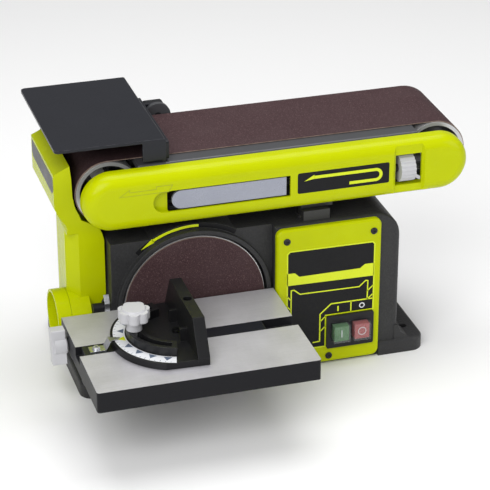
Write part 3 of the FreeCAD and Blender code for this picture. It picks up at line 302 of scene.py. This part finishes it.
def table_look():
    """Ground aluminium on top, black paint on the sides, below and in the slot."""
    top_skin = 0.3
    look = Look("table_ground_alloy")
    streaks = look.noise(22, 6, 0.72, look.stretched(1.2, 34, 10))
    cross = look.noise(16, 4, 0.6, look.stretched(18, 2, 4))
    cloud = look.noise(34, 5, 0.6)
    speck = look.noise(820, 4, 0.7)
    tone = look.calc("MULTIPLY", streaks, 0.35)
    for part, share in ((cloud, 0.45), (speck, 0.25), (cross, 0.08)):
        tone = look.calc("ADD", tone, look.calc("MULTIPLY", part, share))
    metal = look.mix(look.remap(tone, 0.42, 0.72, 0.0, 1.0), (0.43, 0.423, 0.45), (0.54, 0.531, 0.565))
    paint = look.mix(look.noise(500, 3), (0.009, 0.009, 0.011), (0.014, 0.014, 0.016))
    rounded = look.soft_edges(0.6)
    paint = look.mix(look.calc("MULTIPLY", look.edge_mask(rounded), 0.5), paint, (0.20, 0.20, 0.20))
    on_top = look.calc("GREATER_THAN", look.axis(look.place, "Z"), (high("disc_table")[Z] - top_skin) * MM)
    facing_up = look.calc("GREATER_THAN", look.axis(look.facing, "Z"), 0.7)
    bare = look.calc("MULTIPLY", on_top, facing_up)
    roughness = look.calc("ADD", look.calc("MULTIPLY", bare, -0.02), look.remap(tone, 0.4, 0.7, 0.38, 0.46))
    depth = look.calc("ADD", look.calc("MULTIPLY", streaks, 0.4), look.calc("MULTIPLY", speck, 0.5))
    return look.feed(Base_Color=look.mix(bare, paint, metal), Roughness=roughness,
                     Metallic=look.calc("MULTIPLY", bare, 0.3),
                     Specular_IOR_Level=look.remap(bare, 0.0, 1.0, 0.12, 0.5),
                     Normal=look.bump(depth, 0.02, rounded)).material


def mitre_screw_look():
    """Zinc plate on the pointer's screw, black oxide on the pivot screw nearer the fence."""
    between_screws = MITRE_AXIS[X] - 15
    look = Look("mitre_screw_finish", Metallic=0.9)
    marks = look.noise(40, 6, 0.7, look.stretched(14, 14, 14))
    is_pivot = look.calc("GREATER_THAN", look.axis(look.place, "X"), between_screws * MM)
    plated = look.mix(marks, (0.56, 0.57, 0.60), (0.68, 0.69, 0.72))
    return look.feed(Base_Color=look.mix(is_pivot, plated, (0.03, 0.03, 0.032)),
                     Roughness=look.span(marks, 0.28, 0.40),
                     Normal=look.bump(marks, TOOL_MARK_DEPTH, look.soft_edges(METAL_EDGE))).material


def glassy(name, colour, rough, alpha):
    """Clear plastic, a little hazy."""
    look = Look(name, IOR=1.45, Alpha=alpha)
    haze = look.noise(260, 3)
    base = look.mix(look.remap(haze, 0.35, 0.65, 0.0, 1.0), scaled(colour, 0.93), colour)
    return look.feed(Base_Color=base, Roughness=look.span(haze, rough * 0.8, rough * 1.2)).material


LIME = (0.485, 0.550, 0.0)
SILVER = (0.66, 0.66, 0.67)
DRUM_RIM_FROM = 29.5    # inside this radius a drum's recessed web is darker cast metal, painted darker still as shade
looks = {
    "casting": hammered_casting(),
    "lime": moulded("lime_moulded", LIME, 0.24, grain=1500, depth=0.012, tint=0.03, edge=0.3,
                    Specular_IOR_Level=0.13),
    "black_plastic": moulded("black_moulded", (0.014, 0.014, 0.016), 0.42, grain=1600,
                             edge_wear_and_highlight=(0.05, 0.05, 0.055), Specular_IOR_Level=0.25),
    "mitre_black": moulded("black_gloss_moulded", (0.011, 0.011, 0.012), 0.34, grain=1200, depth=0.014,
                           edge=0.6, edge_wear_and_highlight=(0.06, 0.06, 0.065), Specular_IOR_Level=0.3),
    # its lighter edge colour is mostly painted highlight along the bright edge lines, with a little wear
    "black_paint": moulded("black_powder_coat", (0.012, 0.013, 0.018), 0.34, grain=1100, depth=0.014,
                           edge=0.9, edge_wear_and_highlight=(0.12, 0.12, 0.14), Specular_IOR_Level=0.30),
    "grey_paint": moulded("grey_paint", (0.075, 0.077, 0.083), 0.36, grain=900, edge=0.6,
                          edge_wear_and_highlight=(0.20, 0.20, 0.20), metallic=0.25),
    "post_paint": moulded("dark_grey_paint", (0.030, 0.030, 0.030), 0.5, grain=700, depth=0.03,
                          edge_wear_and_highlight=(0.10, 0.10, 0.10)),
    "white": moulded("light_grey_moulded", (0.52, 0.52, 0.54), 0.40, depth=0.012, tint=0.02, edge=0.6,
                     edge_wear_and_highlight=(0.70, 0.70, 0.71)),
    "lever": moulded("silver_lacquer", (0.330, 0.345, 0.405), 0.30, grain=2200, depth=0.006, tint=0.03,
                     edge_wear_and_highlight=(0.55, 0.56, 0.62), metallic=0.55),
    "rubber": moulded("black_rubber", (0.012, 0.012, 0.012), 0.75, grain=600, depth=0.04, edge=0.4),
    "green": moulded("green_button", (0.050, 0.19, 0.045), 0.35, grain=900, depth=0.006),
    "red": moulded("red_button", (0.40, 0.045, 0.05), 0.35, grain=900, depth=0.006),
    "steel": machined("machined_steel", (0.50, 0.50, 0.51), 0.34, (60, 60, 60)),
    "zinc": machined("zinc_plate", (0.62, 0.63, 0.66), 0.34, (14, 14, 14), tint=0.12),
    "mitre_screws": mitre_screw_look(),
    "black_oxide": machined("black_oxide", (0.035, 0.035, 0.037), 0.36, (20, 20, 20), metallic=0.7),
    "copper": machined("lacquered_windings", (0.48, 0.20, 0.08), 0.38, (6, 160, 6), depth=0.06),
    "laminations": machined("core_laminations", (0.30, 0.30, 0.31), 0.42, (2, 220, 2), depth=0.05),
    "drive_drum": turned("drum_turned_drive", SILVER, 0.28, DRIVE_AXIS, shaded_web=DRUM_RIM_FROM),
    "idler_drum": turned("drum_turned_idler", SILVER, 0.28, IDLER_AXIS, shaded_web=DRUM_RIM_FROM),
    "disc_plate": turned("disc_plate_turned", (0.72, 0.72, 0.73), 0.26, DISC_AXIS),
    "belt": sanding_belt_look(),
    "disc": disc_grit_look(),
    "table": table_look(),
    "clear": glassy("clear_cap", (0.42, 0.45, 0.45), 0.10, 0.12),
    "print_black": moulded("print_black", (0.010, 0.010, 0.011), 0.30, grain=1800, depth=0.004, edge=0.1,
                           tint=0.08, Specular_IOR_Level=0.15),
    "print_lime": moulded("print_lime", (0.66, 0.76, 0.0), 0.32, grain=1800, depth=0.004, edge=0.1,
                          tint=0.03),
    # painted shade: a darker lime for the shading along the moulded arrow's raised outline
    "lime_painted_shade": moulded("lime_shaded_line", scaled(LIME, 0.72), 0.4, grain=1500, depth=0.004, edge=0.05,
                         tint=0.03),
    "print_white": moulded("print_white", (0.72, 0.73, 0.76), 0.34, grain=1800, depth=0.004, edge=0.1,
                           tint=0.03),
    "print_blue": moulded("print_blue_grey", (0.10, 0.13, 0.19), 0.34, grain=1800, depth=0.004, edge=0.1,
                          tint=0.1),
}

finishes = {
    "casting": ["base_casting"],
    "lime": ["side_cover", "dust_hood", "dust_port", "switch_plate"],
    "black_plastic": ["rear_cover", "stop_knob", "table_stop_pin", "switch_housing", "cord_gland",
                      "motor_fan"],
    "mitre_black": ["mitre_head"],
    "black_paint": ["work_stop", "stop_bar", "mitre_bar", "motor_housing"],
    "grey_paint": ["platen_frame", "rear_plate", "lever_bracket", "idler_carriage_block"],
    "post_paint": ["arm_rest_post", "arm_rest_tab", "table_brackets"],
    "white": ["tracking_knob", "mitre_knob", "table_lock_knob"],
    "lever": ["tension_lever"],
    "rubber": ["drive_ribbed_belt"],
    "green": ["start_button"],
    "red": ["stop_button"],
    "clear": ["start_cap", "stop_cap"],
    "steel": ["pivot_sleeve", "drive_bearings", "motor_bearings", "motor_shaft", "motor_pulley",
              "driven_pulley", "drive_shaft", "lever_pin", "idler_bearings"],
    "zinc": ["arm_screws", "arm_lock_bolt", "table_pivot_bolt", "bevel_pointer", "mitre_pointer"],
    "mitre_screws": ["mitre_screws"],
    "black_oxide": ["housing_screws", "stop_bar_screws", "switch_plate_screws", "idler_axle",
                    "tension_rod"],
    "copper": ["stator"],
    "laminations": ["rotor"],
    "drive_drum": ["drive_drum"],
    "idler_drum": ["idler_drum"],
    "disc_plate": ["disc_plate"],
    "belt": ["sanding_belt"],
    "disc": ["abrasive_disc"],
    "table": ["disc_table"],
}
for finish, names in finishes.items():
    for name in names:
        NODES[name].data.materials.clear()
        NODES[name].data.materials.append(looks[finish])


# ------------------------------------------------------------------ outlines, in millimetres
def arc(a, b, radius, start, end, steps):
    points = []
    for i in range(steps + 1):
        angle = math.radians(start + (end - start) * i / steps)
        points.append((a + radius * math.cos(angle), b + radius * math.sin(angle)))
    return points


def band(a, b, inner, outer, start, end, steps=48):
    """Part of a ring round a, b, between two angles in degrees."""
    return arc(a, b, inner, start, end, steps) + arc(a, b, outer, end, start, steps)


def rounded_box(a0, b0, a1, b1, r):
    steps = 6
    return (arc(a1 - r, b1 - r, r, 0, 90, steps) + arc(a0 + r, b1 - r, r, 90, 180, steps) +
            arc(a0 + r, b0 + r, r, 180, 270, steps) + arc(a1 - r, b0 + r, r, 270, 360, steps))


def stroke(points, width, closed=False):
    """Line of constant width through the points, with mitred corners: one outline for an open line, and
    one for each stretch of a closed line."""
    mitre_limit = 0.35
    count = len(points)
    left, right = [], []
    for i, point in enumerate(points):
        here = Vector(point)
        before = Vector(points[i - 1]) if i > 0 or closed else None
        after = Vector(points[(i + 1) % count]) if i < count - 1 or closed else None
        d0 = (here - before).normalized() if before is not None else (after - here).normalized()
        d1 = (after - here).normalized() if after is not None else d0
        along = (d0 + d1).normalized()
        normal = Vector((-along.y, along.x))
        reach = width * 0.5 / max(mitre_limit, normal.dot(Vector((-d0.y, d0.x))))
        left.append(tuple(here + normal * reach))
        right.append(tuple(here - normal * reach))
    if closed:
        return [[left[i], left[(i + 1) % count], right[(i + 1) % count], right[i]] for i in range(count)]
    return [left + right[::-1]]


def ring(a, b, radius, width):
    """A printed circle, as a closed line of short stretches."""
    stretches = 36
    last = 360 - 360 / stretches
    return stroke(arc(a, b, radius, 0, last, stretches - 1), width, closed=True)


def wedge(a, b, base_radius, tip_radius, angle, half_angle):
    """Triangle that points away from a, b. Angles are in radians."""
    return [(a + r * math.cos(angle + turn), b + r * math.sin(angle + turn))
            for r, turn in ((base_radius, -half_angle), (base_radius, half_angle), (tip_radius, 0.0))]


# ------------------------------------------------------------------ printed and raised pieces
# A printed layer on a face: how far it stands proud of the face, and its thickness. Its back is in the
# face or in the layer below.
FIRST_LAYER, SECOND_LAYER = (0.12, 0.17), (0.20, 0.12)
RAISED_LINE, BUTTON_PRINT = (0.12, 0.30), (0.12, 0.15)
GUARD_FIRST_LAYER, GUARD_SECOND_LAYER = (0.14, 0.16), (0.24, 0.14)
SCALE_FIRST_LAYER, SCALE_SECOND_LAYER = (0.15, 0.20), (0.23, 0.11)


def flat_piece(name, axis, side, face, layer, outlines, look, body):
    """Thin raised piece on the face at that place along axis. The face looks along side, -1 or 1."""
    proud, thickness = layer
    level = face - proud if side < 0 else face + proud - thickness
    first, second = [other for other in (X, Y, Z) if other != axis]
    mesh = bpy.data.meshes.new(name)
    shape = bmesh.new()
    shift = Vector((0, 0, 0))
    shift[axis] = thickness * MM
    for outline in outlines:
        corners = []
        for a, b in outline:
            place = [0.0, 0.0, 0.0]
            place[first], place[second], place[axis] = a * MM, b * MM, level * MM
            corners.append(shape.verts.new(place))
        grown = bmesh.ops.extrude_face_region(shape, geom=[shape.faces.new(corners)])
        for item in grown["geom"]:
            if isinstance(item, bmesh.types.BMVert):
                item.co += shift
    bmesh.ops.recalc_face_normals(shape, faces=shape.faces)
    bmesh.ops.triangulate(shape, faces=shape.faces)
    shape.to_mesh(mesh)
    shape.free()
    made = bpy.data.objects.new(name, mesh)
    bpy.context.scene.collection.objects.link(made)
    mesh.materials.append(looks[look])
    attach(made, body)


def cover_pieces():
    """Direction decal with a returning arrow, and the outlined arrow moulded above the lever, its outline a
    darker lime as painted shade.
    """
    face = low("side_cover")[Y]
    flat_piece("cover_decal", Y, -1, face, FIRST_LAYER, [rounded_box(41.5, 205.4, 140.2, 228.2, 2.0)],
               "print_black", "belt_arm")

    turn_x, turn_z, turn_radius = 125.5, 216.2, 5.7
    straight_to, lower_end = 118, 97
    path = [(59, turn_z + turn_radius), (straight_to, turn_z + turn_radius)]
    path += arc(turn_x, turn_z, turn_radius, 90, -90, 16)
    path += [(straight_to, turn_z - turn_radius), (lower_end, turn_z - turn_radius)]
    arrow = stroke(path, 3.3)
    arrow.append([(48.5, turn_z + 2.4), (59.2, turn_z + 8.6), (59.2, turn_z + 4.1)])
    flat_piece("cover_decal_arrow", Y, -1, face, SECOND_LAYER, arrow, "print_lime", "belt_arm")

    # the moulded arrow's outline is painted a darker lime, as shade along its raised edge
    outline = [(-144, 226.6), (-133.5, 233.4), (-133.5, 230.6), (-106, 230.8), (-106, 233.6),
               (-89.5, 233.6), (-93.5, 226.6)]
    flat_piece("cover_moulded_arrow", Y, -1, face, RAISED_LINE, stroke(outline, 0.7, closed=True),
               "lime_painted_shade", "belt_arm")


def switch_panel():
    """Dark printed panel on the switch plate, with lime lines, a plain block and dividing lines."""
    face = low("switch_plate")[Y]
    frame_line, thin_line = 1.4, 1.3
    panel = [(31.7, 22.8), (74.3, 22.8), (74.3, 59.7), (127.0, 59.7), (127.2, 136.4), (125.0, 139.0),
             (34.4, 140.0), (31.7, 137.2)]
    flat_piece("switch_panel_print", Y, -1, face, FIRST_LAYER, [panel], "print_black", "base")

    block = [(31.5, 100.8), (127, 99.2), (127, 113.9), (116.9, 114.2), (111.4, 110.0), (44.8, 109.8),
             (40.0, 114.6), (31.5, 114.9)]
    inner = [(36.0, 23), (36.1, 94.7), (39.2, 94.9), (45.8, 89.2), (111.0, 88.3), (118.2, 94.7),
             (120.6, 94.0), (120.2, 72.4)]
    switch_border = [(127, 72.4), (80.2, 72.6), (68.2, 62.0), (68.1, 29.6), (60.5, 29.2)]
    between_marks = [(102.3, 59.9), (102.3, 72.2)]
    slants = [[(31.7, 88.2), (36, 83.2)], [(31.7, 76.6), (36, 71.4)], [(120.2, 82), (126.8, 88)],
              [(120.2, 72), (126.8, 78)], [(68.2, 53.0), (74.3, 58.8)], [(68.2, 41.0), (74.3, 46.9)]]
    lines = stroke(panel, frame_line, closed=True) + [block]
    lines += stroke(inner, thin_line) + stroke(switch_border, frame_line) + stroke(between_marks, thin_line)
    for slant in slants:
        lines += stroke(slant, thin_line)
    flat_piece("switch_panel_lines", Y, -1, face, SECOND_LAYER, lines, "print_lime", "base")


def switch_marks():
    """A bar for on and a ring for off, printed above the switch and on the two buttons."""
    face = low("switch_plate")[Y]
    on_x, off_x, marks_z = 88.0, 114.6, 65.8
    bar = rounded_box(on_x - 0.8, marks_z - 3, on_x + 0.8, marks_z + 3, 0.3)
    flat_piece("switch_print_on", Y, -1, face, SECOND_LAYER, [bar], "print_lime", "base")
    flat_piece("switch_print_off", Y, -1, face, SECOND_LAYER, ring(off_x, marks_z, 2.6, 1.1),
               "print_white", "base")

    start, stop = middle("start_button"), middle("stop_button")
    bar = rounded_box(start[X] - 0.5, start[Z] - 4.4, start[X] + 0.5, start[Z] + 4.4, 0.35)
    flat_piece("start_button_mark", Y, -1, low("start_button")[Y], BUTTON_PRINT, [bar], "print_white",
               "start")
    flat_piece("stop_button_mark", Y, -1, low("stop_button")[Y], BUTTON_PRINT,
               ring(stop[X], stop[Z], 4.2, 0.8), "print_white", "stop_switch")


def guard_arrow():
    """Curved decal on the guard ring above the disc, with an arrow for the disc's direction."""
    guard_face = -74.0
    disc_x, disc_z = DISC_AXIS[X], DISC_AXIS[Z]
    flat_piece("guard_decal", Y, -1, guard_face, GUARD_FIRST_LAYER,
               [band(disc_x, disc_z, 82.6, 87.6, 58, 134)], "print_black", "base")
    head = [(disc_x + r * math.cos(math.radians(t)), disc_z + r * math.sin(math.radians(t)))
            for r, t in ((87.6, 119.5), (85.4, 130), (82.6, 119.5))]
    flat_piece("guard_decal_arrow", Y, -1, guard_face, GUARD_SECOND_LAYER,
               [band(disc_x, disc_z, 83.8, 86.6, 86, 120), head], "print_lime", "base")


def hood_strip():
    """Dark strip across the left end of the hood."""
    outline = [(-48, 219.8), (43.4, 221.8), (48.5, 227), (46.5, 240.0), (-53, 239.2), (-55, 226)]
    flat_piece("hood_strip", X, -1, low("dust_hood")[X], FIRST_LAYER, [outline], "print_black", "base")


def mitre_scale():
    """White scale on the mitre head, with a mark every 5 degrees, wedges, and a lime wedge at zero."""
    centre_x, centre_y, underside = MITRE_AXIS
    plate_thickness = 7.0
    face = underside + plate_thickness
    flat_piece("mitre_scale", Z, 1, face, SCALE_FIRST_LAYER,
               [band(centre_x, centre_y, 51.6, 63.4, 105, 255, 60)], "print_white", "mitre_protractor")

    mark_outer, long_mark, short_mark = 62.9, 3.0, 1.8
    marks = []
    for degrees in range(110, 251, 5):
        mark_inner = mark_outer - (long_mark if degrees % 15 == 0 else short_mark)
        angle = math.radians(degrees)
        marks += stroke([(centre_x + r * math.cos(angle), centre_y + r * math.sin(angle))
                         for r in (mark_inner, mark_outer)], 0.45)
    wedge_base, wedge_tip, zero_tip = 53.0, 59.8, 60.4
    wedge_step, wedge_half = 16.5, math.radians(4.8)
    for step in (-4, -3, -2, -1, 1, 2, 3, 4):
        marks.append(wedge(centre_x, centre_y, wedge_base, wedge_tip, math.radians(180 + wedge_step * step),
                           wedge_half))
    flat_piece("mitre_scale_marks", Z, 1, face, SCALE_SECOND_LAYER, marks, "print_blue",
               "mitre_protractor")
    flat_piece("mitre_scale_zero", Z, 1, face, SCALE_SECOND_LAYER,
               [wedge(centre_x, centre_y, wedge_base, zero_tip, math.pi, 0.084)], "print_lime",
               "mitre_protractor")


cover_pieces()
switch_panel()
switch_marks()
guard_arrow()
hood_strip()
mitre_scale()


# ------------------------------------------------------------------ stage, light and camera
def lay_floor():
    half = 6.0
    mesh = bpy.data.meshes.new("floor")
    mesh.from_pydata([(-half, -half, 0), (half, -half, 0), (half, half, 0), (-half, half, 0)], [],
                     [(0, 1, 2, 3)])
    floor = bpy.data.objects.new("floor", mesh)
    bpy.context.scene.collection.objects.link(floor)
    mesh.materials.append(Look("pale_floor", Base_Color=(0.92, 0.92, 0.92, 1), Roughness=0.9,
                               Specular_IOR_Level=0.2).material)


def area_light(name, place, target, size_x, size_y, power):
    """Soft rectangular light, in metres and watts."""
    data = bpy.data.lights.new(name, "AREA")
    data.shape = "RECTANGLE"
    data.size = size_x
    data.size_y = size_y
    data.energy = power
    lamp = bpy.data.objects.new(name, data)
    lamp.location = place
    lamp.rotation_euler = (Vector(target) - Vector(place)).to_track_quat("-Z", "Y").to_euler()
    bpy.context.scene.collection.objects.link(lamp)


def soft_studio():
    world = bpy.data.worlds.new("soft_studio")
    bpy.context.scene.world = world
    world.use_nodes = True
    background = world.node_tree.nodes["Background"]
    background.inputs["Color"].default_value = (1.0, 1.0, 1.0, 1)
    background.inputs["Strength"].default_value = 0.26
    area_light("key", (-1.2, -1.7, 1.7), (0.0, 0.0, 0.15), 1.8, 1.8, 46)
    area_light("top", (0.1, 0.3, 2.0), (0.0, 0.0, 0.2), 1.8, 1.4, 27)
    area_light("fill", (1.8, -1.3, 1.0), (0.0, 0.0, 0.15), 1.4, 1.4, 12)


def place_camera():
    data = bpy.data.cameras.new("camera")
    data.lens = 157.28
    data.sensor_width = 36
    data.clip_start = 0.05
    data.clip_end = 30
    camera = bpy.data.objects.new("camera", data)
    camera.location = (-0.5787, -1.9579, 1.1342)
    camera.rotation_euler = (math.radians(63.357), 0.0, math.radians(-16.82))
    bpy.context.scene.collection.objects.link(camera)
    bpy.context.scene.camera = camera
    bpy.context.scene.view_settings.view_transform = "Standard"


lay_floor()
soft_studio()
place_camera()
